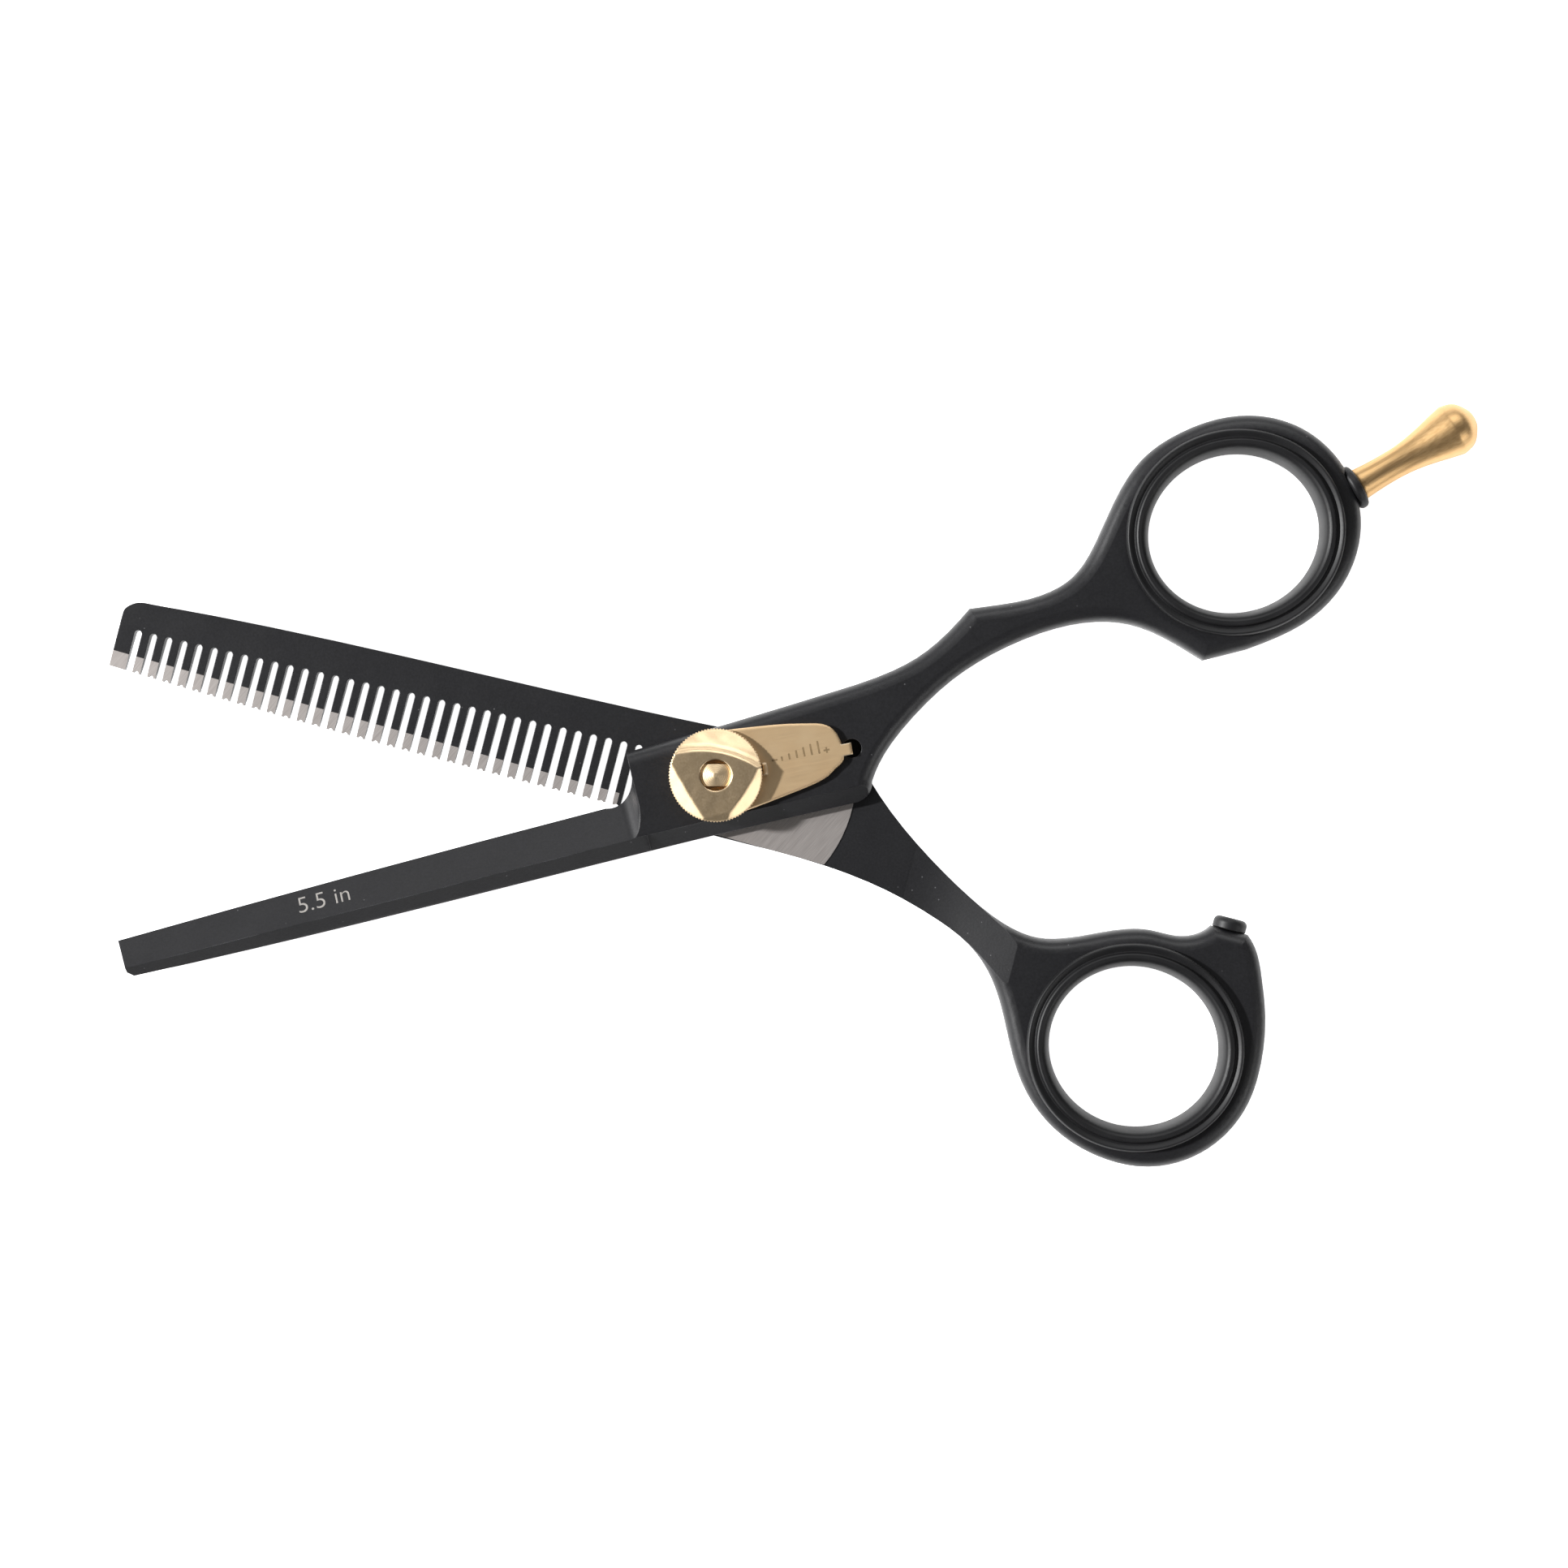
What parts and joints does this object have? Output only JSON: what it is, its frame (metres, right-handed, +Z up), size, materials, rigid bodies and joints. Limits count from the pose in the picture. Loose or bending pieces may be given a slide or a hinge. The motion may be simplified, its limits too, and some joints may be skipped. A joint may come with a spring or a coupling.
{
  "type": "thinning shears",
  "caption": "Hairdressing thinning shears, black coated, with a toothed and a plain blade, lined finger rings, a screw-in finger rest and a tension dial on a leaf plate at the pivot.",
  "frame": {"origin": "on the surface the shears lie on, under the middle of their box at rest", "axes": "+X from the blades towards the handles along the line between the open halves, +Z up, square to the blades, on the dial's side"},
  "size_m": [0.1456, 0.0812, 0.0083],
  "materials": {
    "black_coated_steel": "matt black coating over steel, bare ground ride face and tooth tips",
    "soft_liner": "matt",
    "nylon": "natural",
    "gold_plated_brass": "polished gold plate"
  },
  "bodies": {
    "comb_half": {"comb_blade_half": "black_coated_steel", "thumb_insert": "soft_liner", "bumper": "soft_liner", "pivot_bush": "nylon", "pivot_washer": "nylon"},
    "plain_half": {"plain_blade_half": "black_coated_steel", "finger_insert": "soft_liner", "finger_rest": "gold_plated_brass", "finger_rest_washer": "soft_liner", "pivot_screw": "gold_plated_brass", "tension_plate": "gold_plated_brass"},
    "dial": {"tension_dial": "gold_plated_brass"}
  },
  "joints": [
    {"name": "pivot", "type": "hinge", "parent": "comb_half", "child": "plain_half", "pos_m": [-0.0082, 0.00104, 0.0033], "axis": [0, 0, 1], "range_deg": [-28.6, 61]},
    {"name": "dial_turn", "type": "hinge", "parent": "plain_half", "child": "dial", "pos_m": [-0.0082, 0.00104, 0.0072], "axis": [0, 0, 1], "range_deg": [-120, 120]}
  ]
}
